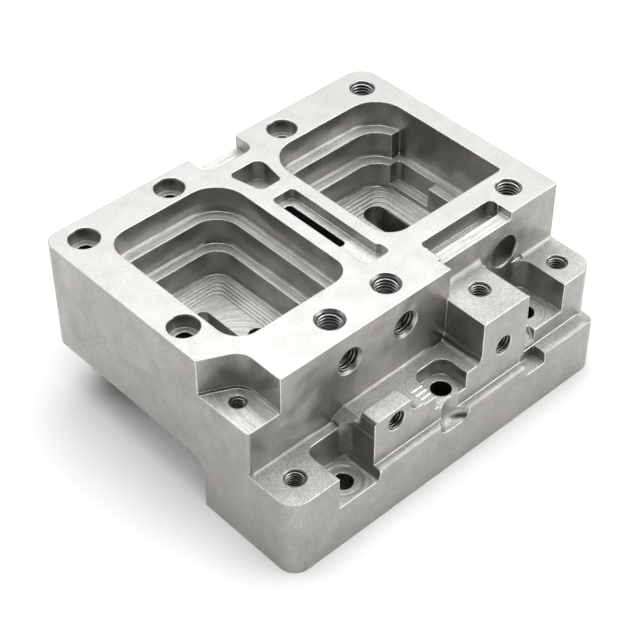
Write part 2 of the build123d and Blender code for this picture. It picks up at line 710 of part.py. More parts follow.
def threaded_holes():
    """Bores of the threaded holes, each with its mouth."""
    right_pad_hole = (LENGTH - RIGHT_PAD_HOLE_INSET, RIGHT_PAD_HOLE_Y)
    front_top = (LENGTH - FRONT_RIGHT_TOP_HOLE_INSET, FRONT_RIGHT_TOP_HOLE_Y)
    inset_x, inset_y = BACK_RIGHT_TOP_HOLE_INSETS
    back_top = (LENGTH - inset_x, WIDTH - inset_y)
    block_1_z = BLOCK_1_TOP - BLOCK_1_HOLE_DROP
    m8 = (M8_DIAMETER, MOUTH_CHAMFER)
    m10 = (M10_DIAMETER, LARGE_MOUTH_CHAMFER)
    holes = [
        bore(*LEFT_PAD_HOLE, LEFT_PAD_TOP, M8_DEPTH, *m8),
        bore(*BLOCK_2_HOLE, BLOCK_2_TOP, M8_SHORT_DEPTH, *m8),
        bore(*right_pad_hole, RIGHT_PAD_TOP, M8_DEPTH, *m8),
        bore(*CORNER_NOTCH_HOLE, CORNER_NOTCH_FLOOR, M6_DEPTH, M6_DIAMETER, MOUTH_CHAMFER),
        bore(*front_top, HEIGHT, M10_DEPTH, M10_DIAMETER, MOUTH_CHAMFER),
        bore(*back_top, HEIGHT, M10_DEPTH, M10_DIAMETER, MOUTH_CHAMFER),
        front_bore(BLOCK_1_HOLE_X, LIP_DEPTH, block_1_z, M8_BLOCK_1_DEPTH, *m8),
        front_bore(BLOCK_2_FRONT_HOLE_X, LIP_DEPTH, BLOCK_2_FRONT_HOLE_Z, M8_SHORT_DEPTH, *m8),
    ]
    for x in PORT_XS:
        holes.append(bore(x, PORT_TOP_Y, HEIGHT, M10_DEPTH, *m10))
        holes.append(front_bore(x, FRONT_WALL, HEIGHT - PORT_FRONT_DROP, M10_DEPTH, *m10))
    return holes


def plain_holes():
    """Screw holes through the housing, and the cross bore in the set-back wall."""
    holes = []
    floors = (POCKET_1_FLOOR, POCKET_2_FLOOR, POCKET_3_FLOOR)
    for (x, y), floor in zip((POCKET_1_HOLE, POCKET_2_HOLE, POCKET_3_HOLE), floors):
        holes.append(bore(x, y, floor, floor + OVERRUN, CLEARANCE_DIAMETER))
    x, y = POCKET_1_HOLE
    holes.append(bore(x, y, POCKET_1_FLOOR, SPOTFACE_DEPTH, SPOTFACE_DIAMETER))
    screws = [
        LEFT_WALL_SCREW,
        (BACK_LEFT_SCREW[0], WIDTH - BACK_LEFT_SCREW[1]),
        (BACK_MIDDLE_SCREW[0], WIDTH - BACK_MIDDLE_SCREW[1]),
        (BACK_RIGHT_SCREW[0], WIDTH - BACK_RIGHT_SCREW[1]),
    ]
    for x, y in screws:
        holes.append(bore(x, y, HEIGHT, HEIGHT + OVERRUN, SCREW_HOLE_DIAMETER))
        holes.append(
            bore(x, y, HEIGHT, COUNTERBORE_DEPTH, COUNTERBORE_DIAMETER, MOUTH_CHAMFER)
        )
    cross_depth = RIGHT_POCKET_FRONT - RECESSED_WALL + OVERRUN
    holes.append(
        front_bore(
            CROSS_BORE_X, RECESSED_WALL, CROSS_BORE_Z, cross_depth, CROSS_BORE_DIAMETER,
            CROSS_BORE_CHAMFER,
        )
    )
    return holes


def pocket_coves():
    """Rounds that the cutter left in pockets 1 and 3."""
    pad_left = LENGTH - RIGHT_PAD_WIDTH
    pocket_1 = front_prism(
        cove(POCKET_1_RIGHT, POCKET_1_FLOOR, POCKET_1_COVE), 0, POCKET_1_BACK + ROOT
    )
    corner = (
        (RECESSED_WALL + ROOT, pad_left + ROOT),
        (RECESSED_WALL - POCKET_3_ROUND - ROOT, pad_left + ROOT),
        (RECESSED_WALL - POCKET_3_ROUND - ROOT, pad_left),
        (RECESSED_WALL, pad_left),
        (RECESSED_WALL, pad_left - POCKET_3_ROUND - ROOT),
        (RECESSED_WALL + ROOT, pad_left - POCKET_3_ROUND - ROOT),
    )
    rounds = (0, 0, 0, POCKET_3_ROUND, 0, 0)
    plan = [(x, y, radius) for (y, x), radius in zip(corner, rounds)]
    return [pocket_1, prism(plan, POCKET_3_FLOOR - ROOT, RIGHT_PAD_TOP)]


def housing():
    """The whole housing, as one solid."""
    body = upper_block() + front_foot() + rear_foot() + underside_coves() + wall_coves()
    body -= front_pockets()
    body += [block_1()] + pocket_coves()
    body -= left_pocket()
    body -= right_pocket()
    body -= top_recesses()
    body -= threaded_holes()
    body -= plain_holes()
    return Pos(-LENGTH / 2, -WIDTH / 2, 0) * body


os.makedirs("parts", exist_ok=True)
part = housing()
solids = part.solids()
print("solids", len(solids), "volume", round(part.volume), "valid", part.is_valid)
export_step(solids[0], "parts/housing.step")
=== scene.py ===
# %% [markdown]
# # A milled aluminium housing
# The housing is one billet of aluminium that a milling machine has emptied from above. The shape
# comes from the CAD model, so this lesson is about three other things: how bare metal is
# made to look cut rather than painted, how screw threads are wound with Geometry Nodes, and how
# a white studio lights a part that is almost white itself.

# %% Load the CAD part
import math

import bpy
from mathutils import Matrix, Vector


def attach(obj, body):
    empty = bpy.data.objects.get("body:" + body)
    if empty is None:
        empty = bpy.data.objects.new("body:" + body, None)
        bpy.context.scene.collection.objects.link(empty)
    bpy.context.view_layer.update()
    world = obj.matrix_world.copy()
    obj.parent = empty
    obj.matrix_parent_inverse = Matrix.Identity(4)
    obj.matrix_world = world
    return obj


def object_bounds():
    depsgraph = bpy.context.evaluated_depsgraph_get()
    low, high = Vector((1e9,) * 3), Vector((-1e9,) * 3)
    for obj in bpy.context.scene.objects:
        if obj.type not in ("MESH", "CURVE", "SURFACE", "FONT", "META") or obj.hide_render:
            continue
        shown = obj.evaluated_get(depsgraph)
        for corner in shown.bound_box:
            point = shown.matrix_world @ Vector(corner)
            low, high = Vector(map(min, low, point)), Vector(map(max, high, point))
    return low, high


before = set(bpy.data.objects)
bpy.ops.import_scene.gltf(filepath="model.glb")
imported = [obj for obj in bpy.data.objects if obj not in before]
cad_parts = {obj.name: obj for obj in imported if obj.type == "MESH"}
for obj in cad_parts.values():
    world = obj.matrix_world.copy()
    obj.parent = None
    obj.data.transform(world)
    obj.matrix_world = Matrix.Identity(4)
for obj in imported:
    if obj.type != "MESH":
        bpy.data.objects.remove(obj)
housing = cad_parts["housing"]
cad_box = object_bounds()
low, high = (Vector(corner) for corner in cad_box)
print("CAD box, mm:", [round(1000 * side, 1) for side in high - low])

# %% [markdown]
# ## Sizes and colours
# Blender counts in metres and a machinist in millimetres. Writing MM next to a number keeps both
# honest. Colours are picked on a screen, as sRGB, while the shader works in linear light, so every
# hex value passes through one function.

# %% Units, colours and one helper for nodes
MM = 0.001


def linear(hex_colour):
    """sRGB hex text to the linear colour that a shader works with."""
    parts = [int(hex_colour[i:i + 2], 16) / 255 for i in (1, 3, 5)]
    return tuple(p / 12.92 if p <= 0.04045 else ((p + 0.055) / 1.055) ** 2.4 for p in parts) + (1,)


def node(tree, kind, inputs=None, **settings):
    """Add a node, set its options, and fill or link its inputs by name or number."""
    made = tree.nodes.new(kind)
    for name, value in settings.items():
        setattr(made, name, value)
    for key, value in (inputs or {}).items():
        if isinstance(value, bpy.types.NodeSocket):
            tree.links.new(value, made.inputs[key])
        else:
            made.inputs[key].default_value = value
    return made


# %% [markdown]
# ## Camera
# The camera stands where the photographer's did: above the front left corner, looking down at
# 43 degrees through a long lens, which keeps the far edges nearly parallel.

# %% Camera
CAMERA_PLACE = (-0.33876, -0.35814, 0.48648)
CAMERA_TURN = (47.0854, 0.0690, -42.9866)
LENS_MM = 95.446
SENSOR_MM = 36

camera_data = bpy.data.cameras.new("studio_camera")
camera_data.lens = LENS_MM
camera_data.sensor_width = SENSOR_MM
camera = bpy.data.objects.new("studio_camera", camera_data)
camera.location = CAMERA_PLACE
camera.rotation_euler = [math.radians(angle) for angle in CAMERA_TURN]
bpy.context.scene.collection.objects.link(camera)
bpy.context.scene.camera = camera
print("camera with a", LENS_MM, "mm lens,", round(camera.location.length, 2), "m from the middle")

# %% [markdown]
# ## Milled aluminium
# The billet is a wrought aluminium alloy, bare and uncoated. A face mill leaves the tops almost
# even. An end mill leaves lines along the ledges that it followed, arcs on the floors that it
# swept, and walls that are cloudy and marked up and down. So one material looks at where a point is
# and which way it faces, in the part's own space, and mixes the finishes. Its colour is painted
# lighter on the faces that look up and darker on the walls, as painted light and painted shade, and
# its edges carry a painted highlight.
#
# The pattern sizes are real lengths. The other numbers say how strong each effect is: a level is a
# factor on the colour, and a relief is a share of the depth beside it.

# %% Settings of the metal
# Faces that look up are painted lighter and walls darker: painted light and painted shade.
LIT_TOP_COLOUR = "#dedddb"
LIT_FLOOR_COLOUR = "#edece9"
LIT_TERRACE_COLOUR = "#d9d8d5"
SHADED_WALL_COLOUR = "#a6a5a2"
WARM_COLOUR = "#b0aba2"
# Painted highlight: the edges are painted near white.
EDGE_HIGHLIGHT_COLOUR = "#fafaf9"
TOP_ROUGHNESS = 0.48
FLOOR_ROUGHNESS = 0.58
WALL_ROUGHNESS = 0.35
EDGE_ROUGHNESS = 0.24
EDGE_BREAK = 0.55 * MM
CUTTER_LINE = 1.4 * MM
WALL_STREAK = 0.9 * MM
WALL_PASS = 1.7 * MM
GRAIN = 0.6 * MM
MOTTLE = 11.0 * MM
WAVE = 13.0 * MM
LINE_LENGTH = 50 * MM
TOP_MARGIN = 0.2 * MM
FACES_UP = (0.75, 0.97)
EDGE_LEAN = (0.995, 0.92)
WARM_WAVES = (0.50, 0.72)
CRISP_MARKS = (0.38, 0.62)
NOISE_LOW = 0.3
NOISE_HIGH = 0.7
WAVE_DEPTH = 2.0 * MM
WALL_WAVINESS = 0.5
TOP_WAVINESS = 0.03
MARK_DEPTH = 0.14 * MM
WALL_MARK_RELIEF = 0.18
FLOOR_MARK_RELIEF = 0.35
GRAIN_DEPTH = 0.04 * MM
GRAIN_RELIEF = 0.30
PASS_SHARE = 0.18
TERRACE_GRAIN_SHARE = 0.75
WALL_CONTRAST = 0.09
FLOOR_CONTRAST = 0.38
TERRACE_CONTRAST = 0.24
CLOUD_LEVELS = (0.89, 1.06)
TOP_CLOUD_LEVEL = 0.96
GRAIN_LEVELS = (0.78, 1.16)
WARM_SHARE = 0.6
SPECK_ROUGHNESS = 0.07
CLOUD_ROUGHNESS = 0.06
print("metal with lines", CUTTER_LINE / MM, "mm wide and clouds", MOTTLE / MM, "mm across")

# %% [markdown]
# ## The path of the cutter
# The lines on a ledge run side by side with the wall that the cutter followed, and turn with it at
# the corner. So the pattern needs one number for each point: how far it is across those lines. In
# the stepped pockets that is the distance from the middle of the corner round, with everything
# before the round counted as zero. On the terrace it is simply how far back the point lies, and on
# a swept floor it is the distance from the point that the cutter swung about: the hole, the middle
# of the floor, or a point far off where the lines are nearly straight. Each swept floor is given by
# its middle, by how far it reaches and by that point.

# %% Distance across the cutter's lines
CORNER_TURNS = (Vector((-25.3, 38.1, 0)) * MM, Vector((59.8, 36.6, 0)) * MM)
RIB_MIDDLE = 0.8 * MM
TERRACE_BACK = -28.0 * MM
TERRACE_TOP = 62.0 * MM
SWEPT_FLOORS = {
    "pocket 1": ((-50.6, -60.4, 21.3), (10.5, 9.6, 1.5), (-50.6, -60.4, 21.3)),
    "pocket 2": ((0.7, -59.8, 33.2), (9.5, 7.0, 0.7), (0.7, -59.8, 33.2)),
    "pocket 3": ((54.5, -53.1, 34.0), (14.0, 14.0, 0.7), (54.5, -53.1, 34.0)),
    "corner notch": ((-75.3, -32.3, 58.5), (9.0, 14.5, 0.7), (-25.0, -44.0, 58.5)),
    "left pocket": ((-46.0, 2.0, 37.0), (34.0, 38.0, 0.5), (-46.0, 2.0, 37.0)),
    "right pocket": ((38.0, 8.0, 37.0), (30.0, 38.0, 0.5), (38.0, 8.0, 37.0)),
}


def across_the_lines(tree, place, spot):
    """Distance across the cutter's lines, and where the smooth terrace and the sweeps are."""
    on_right = node(
        tree, "ShaderNodeMath", {0: spot.outputs["X"], 1: RIB_MIDDLE}, operation="GREATER_THAN"
    )
    turn = node(
        tree, "ShaderNodeMix",
        {0: on_right.outputs[0], 4: CORNER_TURNS[0], 5: CORNER_TURNS[1]}, data_type="VECTOR",
    )
    beyond = node(
        tree, "ShaderNodeVectorMath",
        {0: place.outputs["Object"], 1: turn.outputs[1]}, operation="SUBTRACT",
    )
    outward = node(
        tree, "ShaderNodeVectorMath", {0: beyond.outputs[0], 1: (0, 0, 0)}, operation="MAXIMUM"
    )
    level = node(
        tree, "ShaderNodeVectorMath", {0: outward.outputs[0], 1: (1, 1, 0)}, operation="MULTIPLY"
    )
    round_corner = node(tree, "ShaderNodeVectorMath", {0: level.outputs[0]}, operation="LENGTH")
    on_terrace = node(
        tree, "ShaderNodeMath", {0: spot.outputs["Y"], 1: TERRACE_BACK}, operation="LESS_THAN"
    )
    across = node(
        tree, "ShaderNodeMix",
        {0: on_terrace.outputs[0], 2: round_corner.outputs["Value"], 3: spot.outputs["Y"]},
    ).outputs[0]
    swept = None
    for middle, reach, swung_about in SWEPT_FLOORS.values():
        inside = None
        for axis in range(3):
            near = node(
                tree, "ShaderNodeMath",
                {0: spot.outputs[axis], 1: middle[axis] * MM, 2: reach[axis] * MM},
                operation="COMPARE",
            )
            inside = near.outputs[0] if inside is None else node(
                tree, "ShaderNodeMath", {0: inside, 1: near.outputs[0]}, operation="MULTIPLY"
            ).outputs[0]
        sweep = node(
            tree, "ShaderNodeVectorMath",
            {0: place.outputs["Object"], 1: Vector(swung_about) * MM}, operation="DISTANCE",
        )
        across = node(
            tree, "ShaderNodeMix", {0: inside, 2: across, 3: sweep.outputs["Value"]}
        ).outputs[0]
        swept = inside if swept is None else node(
            tree, "ShaderNodeMath", {0: swept, 1: inside}, operation="MAXIMUM"
        ).outputs[0]
    below_top = node(
        tree, "ShaderNodeMath", {0: spot.outputs["Z"], 1: TERRACE_TOP}, operation="LESS_THAN"
    )
    low_front = node(
        tree, "ShaderNodeMath", {0: on_terrace.outputs[0], 1: below_top.outputs[0]},
        operation="MULTIPLY",
    )
    smooth = node(
        tree, "ShaderNodeMath", {0: low_front.outputs[0], 1: swept}, operation="SUBTRACT",
        use_clamp=True,
    )
    return across, smooth.outputs[0]


# %% [markdown]
# ## Three kinds of mark
# Each mark is one height between 0 and 1. The floors have the cutter's lines, the walls have
# upright streaks and a faint step for every pass of the cutter, and all of it has a fine grain. The
# tops of the terrace and its blocks are mostly grain. The same heights also shift colour and
# roughness a little: the colour is darker where a mark is low, which is painted shade in its
# grooves.

# %% Heights of the marks
def floor_lines(tree, place, across):
    """Lines of uneven width on ledges and floors, which change slowly along their length."""
    count = node(tree, "ShaderNodeMath", {0: across, 1: 1 / CUTTER_LINE}, operation="MULTIPLY")
    slow = node(
        tree, "ShaderNodeVectorMath", {0: place.outputs["Object"], "Scale": 1 / LINE_LENGTH},
        operation="SCALE",
    )
    slow_parts = node(tree, "ShaderNodeSeparateXYZ", {0: slow.outputs[0]})
    where = node(
        tree, "ShaderNodeCombineXYZ",
        {0: count.outputs[0], 1: slow_parts.outputs["X"], 2: slow_parts.outputs["Y"]},
    )
    return node(
        tree, "ShaderNodeTexNoise",
        {"Vector": where.outputs[0], "Scale": 1.0, "Detail": 4.5, "Roughness": 0.8},
    )


def wall_marks(tree, place, spot):
    """Upright streaks, crossed by a faint step for each pass of the cutter."""
    stretched = node(
        tree, "ShaderNodeMapping",
        {"Vector": place.outputs["Object"],
         "Scale": (1 / WALL_STREAK, 1 / WALL_STREAK, 0.3 / WALL_STREAK)},
    )
    streaks = node(
        tree, "ShaderNodeTexNoise",
        {"Vector": stretched.outputs[0], "Scale": 1.0, "Detail": 4.0, "Roughness": 0.65},
    )
    passes = node(
        tree, "ShaderNodeTexNoise",
        {"W": spot.outputs["Z"], "Scale": 1 / WALL_PASS, "Detail": 3.0, "Roughness": 0.7},
        noise_dimensions="1D",
    )
    return node(
        tree, "ShaderNodeMix", {0: PASS_SHARE, 2: streaks.outputs["Fac"], 3: passes.outputs["Fac"]}
    )


# %% [markdown]
# ## One material for the billet
# The edges were broken with a file and catch the light. The Bevel node rounds the shading normal
# there without adding a single face, and the angle between that normal and the true one tells the
# material where an edge is. There the colour is painted near white, a painted highlight.

# %% Material of the housing
def milled_aluminium():
    """Bare milled aluminium: lined ledges, cloudy walls, painted light on tops, painted shade on
    walls, painted highlight on edges.
    """
    material = bpy.data.materials.new("milled_aluminium")
    material.use_nodes = True
    tree = material.node_tree
    tree.nodes.clear()
    place = node(tree, "ShaderNodeTexCoord")
    spot = node(tree, "ShaderNodeSeparateXYZ", {0: place.outputs["Object"]})
    facing = node(tree, "ShaderNodeSeparateXYZ", {0: place.outputs["Normal"]})
    upward = node(
        tree, "ShaderNodeMapRange",
        {"Value": facing.outputs["Z"], "From Min": FACES_UP[0], "From Max": FACES_UP[1]},
        interpolation_type="SMOOTHSTEP",
    )
    on_top = node(
        tree, "ShaderNodeMath", {0: spot.outputs["Z"], 1: high.z - TOP_MARGIN},
        operation="GREATER_THAN",
    )
    across, smooth = across_the_lines(tree, place, spot)
    lines = floor_lines(tree, place, across)
    marks = wall_marks(tree, place, spot)
    grain = node(
        tree, "ShaderNodeTexNoise",
        {"Vector": place.outputs["Object"], "Scale": 1 / GRAIN, "Detail": 3.0, "Roughness": 0.7},
    )
    clouds = node(
        tree, "ShaderNodeTexNoise",
        {"Vector": place.outputs["Object"], "Scale": 1 / MOTTLE, "Detail": 5.0, "Roughness": 0.6,
         "Distortion": 0.6},
    )
    waves = node(
        tree, "ShaderNodeTexNoise",
        {"Vector": place.outputs["Object"], "Scale": 1 / WAVE, "Detail": 1.0, "Roughness": 0.5},
    )

    # Relief: a slow waviness, then the marks, then the grain
    faintness = node(
        tree, "ShaderNodeMath", {0: smooth, 1: TERRACE_GRAIN_SHARE}, operation="MULTIPLY"
    )
    grained_lines = node(
        tree, "ShaderNodeMix",
        {0: faintness.outputs[0], 2: lines.outputs["Fac"], 3: grain.outputs["Fac"]},
    )
    swept = node(
        tree, "ShaderNodeMix", {0: on_top.outputs[0], 2: grained_lines.outputs[0], 3: 0.5}
    )
    mark = node(
        tree, "ShaderNodeMix", {0: upward.outputs[0], 2: marks.outputs[0], 3: swept.outputs[0]}
    )
    waviness = node(
        tree, "ShaderNodeMapRange",
        {"Value": upward.outputs[0], "To Min": WALL_WAVINESS, "To Max": TOP_WAVINESS},
    )
    softened = node(tree, "ShaderNodeBevel", {"Radius": EDGE_BREAK}, samples=6)
    wavy = node(
        tree, "ShaderNodeBump",
        {"Height": waves.outputs["Fac"], "Strength": waviness.outputs[0], "Distance": WAVE_DEPTH,
         "Normal": softened.outputs[0]},
    )
    relief = node(
        tree, "ShaderNodeMapRange",
        {"Value": upward.outputs[0], "To Min": WALL_MARK_RELIEF, "To Max": FLOOR_MARK_RELIEF},
    )
    marked = node(
        tree, "ShaderNodeBump",
        {"Height": mark.outputs[0], "Strength": relief.outputs[0], "Distance": MARK_DEPTH,
         "Normal": wavy.outputs[0]},
    )
    grained = node(
        tree, "ShaderNodeBump",
        {"Height": grain.outputs["Fac"], "Strength": GRAIN_RELIEF, "Distance": GRAIN_DEPTH,
         "Normal": marked.outputs[0]},
    )

    # How far the softened normal leans away from the true one marks the edges
    surface = node(tree, "ShaderNodeNewGeometry")
    lean = node(
        tree, "ShaderNodeVectorMath",
        {0: surface.outputs["Normal"], 1: softened.outputs[0]}, operation="DOT_PRODUCT",
    )
    edge = node(
        tree, "ShaderNodeMapRange",
        {"Value": lean.outputs["Value"], "From Min": EDGE_LEAN[0], "From Max": EDGE_LEAN[1]},
    )

    # Colour: walls painted darker and floors, terrace and tops lighter, as painted shade and light,
    # then clouded, warmed and marked
    lower = node(
        tree, "ShaderNodeMix",
        {0: smooth, 6: linear(LIT_FLOOR_COLOUR), 7: linear(LIT_TERRACE_COLOUR)}, data_type="RGBA",
    )
    upper = node(
        tree, "ShaderNodeMix",
        {0: on_top.outputs[0], 6: lower.outputs[2], 7: linear(LIT_TOP_COLOUR)}, data_type="RGBA",
    )
    warmth = node(
        tree, "ShaderNodeMapRange",
        {"Value": waves.outputs["Fac"], "From Min": WARM_WAVES[0], "From Max": WARM_WAVES[1],
         "To Max": WARM_SHARE},
    )
    wall = node(
        tree, "ShaderNodeMix",
        {0: warmth.outputs[0], 6: linear(SHADED_WALL_COLOUR), 7: linear(WARM_COLOUR)}, data_type="RGBA",
    )
    base = node(
        tree, "ShaderNodeMix",
        {0: upward.outputs[0], 6: wall.outputs[2], 7: upper.outputs[2]}, data_type="RGBA",
    )
    darkest = node(
        tree, "ShaderNodeMix", {0: on_top.outputs[0], 2: CLOUD_LEVELS[0], 3: TOP_CLOUD_LEVEL}
    )
    cloud_level = node(
        tree, "ShaderNodeMapRange",
        {"Value": clouds.outputs["Fac"], "From Min": NOISE_LOW, "From Max": NOISE_HIGH,
         "To Min": darkest.outputs[0], "To Max": CLOUD_LEVELS[1]},
    )
    # Painted shade: the colour is darker where a mark is low, in its grooves.
    line_contrast = node(
        tree, "ShaderNodeMix", {0: smooth, 2: FLOOR_CONTRAST, 3: TERRACE_CONTRAST}
    )
    contrast = node(
        tree, "ShaderNodeMapRange",
        {"Value": upward.outputs[0], "To Min": WALL_CONTRAST,
         "To Max": line_contrast.outputs[0]},
    )
    crisp = node(
        tree, "ShaderNodeMapRange",
        {"Value": mark.outputs[0], "From Min": CRISP_MARKS[0], "From Max": CRISP_MARKS[1]},
        interpolation_type="SMOOTHSTEP",
    )
    about_nothing = node(
        tree, "ShaderNodeMath", {0: crisp.outputs[0], 1: 0.5}, operation="SUBTRACT"
    )
    groove_shade_level = node(
        tree, "ShaderNodeMath",
        {0: about_nothing.outputs[0], 1: contrast.outputs[0], 2: 1.0}, operation="MULTIPLY_ADD",
    )
    grain_level = node(
        tree, "ShaderNodeMapRange",
        {"Value": grain.outputs["Fac"], "From Min": NOISE_LOW, "From Max": NOISE_HIGH,
         "To Min": GRAIN_LEVELS[0], "To Max": GRAIN_LEVELS[1]},
    )
    textured = node(
        tree, "ShaderNodeMath", {0: grain_level.outputs[0], 1: groove_shade_level.outputs[0]},
        operation="MULTIPLY",
    )
    level = node(
        tree, "ShaderNodeMath", {0: cloud_level.outputs[0], 1: textured.outputs[0]},
        operation="MULTIPLY",
    )
    clouded = node(
        tree, "ShaderNodeVectorMath",
        {0: base.outputs[2], "Scale": level.outputs[0]}, operation="SCALE",
    )
    # Painted highlight: the edges get a near-white colour.
    colour = node(
        tree, "ShaderNodeMix",
        {0: edge.outputs[0], 6: clouded.outputs[0], 7: linear(EDGE_HIGHLIGHT_COLOUR)}, data_type="RGBA",
    )

    # Roughness: tops, floors and walls each have their own, and the edges are burnished
    even = node(
        tree, "ShaderNodeMix", {0: on_top.outputs[0], 2: FLOOR_ROUGHNESS, 3: TOP_ROUGHNESS}
    )
    finish = node(
        tree, "ShaderNodeMix", {0: upward.outputs[0], 2: WALL_ROUGHNESS, 3: even.outputs[0]}
    )
    speck = node(
        tree, "ShaderNodeMapRange",
        {"Value": grain.outputs["Fac"], "From Min": NOISE_LOW, "From Max": NOISE_HIGH,
         "To Min": -SPECK_ROUGHNESS, "To Max": SPECK_ROUGHNESS},
    )
    uneven = node(
        tree, "ShaderNodeMapRange",
        {"Value": clouds.outputs["Fac"], "From Min": NOISE_LOW, "From Max": NOISE_HIGH,
         "To Min": CLOUD_ROUGHNESS, "To Max": -CLOUD_ROUGHNESS},
    )
    shift = node(
        tree, "ShaderNodeMath", {0: speck.outputs[0], 1: uneven.outputs[0]}, operation="ADD"
    )
    specked = node(
        tree, "ShaderNodeMath", {0: finish.outputs[0], 1: shift.outputs[0]}, operation="ADD"
    )
    roughness = node(
        tree, "ShaderNodeMix", {0: edge.outputs[0], 2: specked.outputs[0], 3: EDGE_ROUGHNESS}
    )
    shader = node(
        tree, "ShaderNodeBsdfPrincipled",
        {"Base Color": colour.outputs[2], "Metallic": 1.0, "Roughness": roughness.outputs[0],
         "Normal": grained.outputs[0]},
    )
    node(tree, "ShaderNodeOutputMaterial", {"Surface": shader.outputs[0]})
    return material


milled = milled_aluminium()
for metal_slot in housing.material_slots:
    metal_slot.material = milled
print("milled finish with", len(milled.node_tree.nodes), "nodes")

# %% [markdown]
# ## The metal of a cut thread
# A tap leaves bright flanks, which mirror the lights above, and the crest is torn and dull. The
# groove is painted nearly black, a painted shade. The ridge will carry a value called height, 0 at
# its foot and 1 at its crest, and the colour follows it. The holes that lie on their side get
# darker flanks.

# %% Materials of the threads
CLEAN_FLANK = "#f0f0ef"
# Flanks of the holes that lie on their side are darker.
SIDE_HOLE_FLANK = "#9a9894"
PAINTED_GROOVE_SHADE = "#181817"
GROOVE_HEIGHTS = (0.35, 0.62)
CREST_LEVEL = 0.3
THREAD_ROUGHNESS = (0.32, 0.44)
TORN_DEPTH = 0.05 * MM
TORN_RELIEF = 0.4


def tapped_aluminium(name, flank_colour):
    """Aluminium as a tap leaves it: bright flanks, a dull crest, and a groove painted dark as
    shade.
    """
    material = bpy.data.materials.new(name)
    material.use_nodes = True
    tree = material.node_tree
    tree.nodes.clear()
    place = node(tree, "ShaderNodeTexCoord")
    torn = node(
        tree, "ShaderNodeTexNoise",
        {"Vector": place.outputs["Object"], "Scale": 1 / GRAIN, "Detail": 3.0, "Roughness": 0.7},
    )
    height = node(tree, "ShaderNodeAttribute", attribute_name="height")
    above_groove = node(
        tree, "ShaderNodeMapRange",
        {"Value": height.outputs["Fac"], "From Min": GROOVE_HEIGHTS[0],
         "From Max": GROOVE_HEIGHTS[1]},
    )
    below_crest = node(
        tree, "ShaderNodeMapRange",
        {"Value": height.outputs["Fac"], "From Min": 1.0, "From Max": 0.95,
         "To Min": CREST_LEVEL},
    )
    flank = node(
        tree, "ShaderNodeMath", {0: above_groove.outputs[0], 1: below_crest.outputs[0]},
        operation="MULTIPLY",
    )
    # Painted shade: the groove of the ridge is painted nearly black.
    colour = node(
        tree, "ShaderNodeMix",
        {0: flank.outputs[0], 6: linear(PAINTED_GROOVE_SHADE), 7: linear(flank_colour)},
        data_type="RGBA",
    )
    roughness = node(
        tree, "ShaderNodeMapRange",
        {"Value": torn.outputs["Fac"], "From Min": NOISE_LOW, "From Max": NOISE_HIGH,
         "To Min": THREAD_ROUGHNESS[0], "To Max": THREAD_ROUGHNESS[1]},
    )
    relief = node(
        tree, "ShaderNodeBump",
        {"Height": torn.outputs["Fac"], "Strength": TORN_RELIEF, "Distance": TORN_DEPTH},
    )
    shader = node(
        tree, "ShaderNodeBsdfPrincipled",
        {"Base Color": colour.outputs[2], "Metallic": 1.0, "Roughness": roughness.outputs[0],
         "Normal": relief.outputs[0]},
    )
    node(tree, "ShaderNodeOutputMaterial", {"Surface": shader.outputs[0]})
    return material


clean_thread = tapped_aluminium("tapped_aluminium", CLEAN_FLANK)
side_hole_thread = tapped_aluminium("side_hole_tapped_aluminium", SIDE_HOLE_FLANK)
print("thread metal with", len(clean_thread.node_tree.nodes), "nodes")

# %% [markdown]
# ## Screw threads
# A tapped hole is a plain bore until its thread is cut, and the thread is a ridge that winds down
# the wall. It repeats one small section along a helix, which is exactly what a Geometry Nodes tree
# does well: a spiral curve, a four-cornered section swept along it, and a copy at every hole. The
# proportions are those of the metric thread: the ridge stands 0.54 of a pitch high, is a quarter
# of a pitch wide at its crest and nearly a whole pitch at its foot. Over the first and last part of
# a turn it grows out of the wall, as it does where a tap enters the metal.

# %% Tree that winds a thread at every hole
THREAD_HEIGHT = 0.541
CREST_WIDTH = 0.25
FOOT_WIDTH = 0.86
LEAD_TURNS = 0.35
SMALLEST_SCALE = 0.03
STEPS_PER_TURN = 40
IN_THE_WALL = 0.06 * MM


def thread_section(tree, pitch):
    """Four corners of the ridge: x runs towards the hole's axis and y along it."""
    corners = []
    for width, depth in (
        (FOOT_WIDTH, 0.0), (CREST_WIDTH, THREAD_HEIGHT), (-CREST_WIDTH, THREAD_HEIGHT),
        (-FOOT_WIDTH, 0.0),
    ):
        inward = node(tree, "ShaderNodeMath", {0: pitch, 1: depth}, operation="MULTIPLY")
        along = node(tree, "ShaderNodeMath", {0: pitch, 1: width / 2}, operation="MULTIPLY")
        seated = node(
            tree, "ShaderNodeMath", {0: inward.outputs[0], 1: 0.0 if depth else -IN_THE_WALL},
            operation="ADD",
        )
        corners.append(
            node(tree, "ShaderNodeCombineXYZ", {0: seated.outputs[0], 1: along.outputs[0]})
        )
    section = node(
        tree, "GeometryNodeCurvePrimitiveQuadrilateral",
        {f"Point {i + 1}": corner.outputs[0] for i, corner in enumerate(corners)}, mode="POINTS",
    )
    corner_place = node(tree, "GeometryNodeInputPosition")
    corner_parts = node(tree, "ShaderNodeSeparateXYZ", {0: corner_place.outputs[0]})
    is_crest = node(
        tree, "ShaderNodeMath", {0: corner_parts.outputs["X"], 1: 0.0}, operation="GREATER_THAN"
    )
    return node(
        tree, "GeometryNodeStoreNamedAttribute",
        {"Geometry": section.outputs[0], "Name": "height", "Value": is_crest.outputs[0]},
        data_type="FLOAT", domain="POINT",
    )


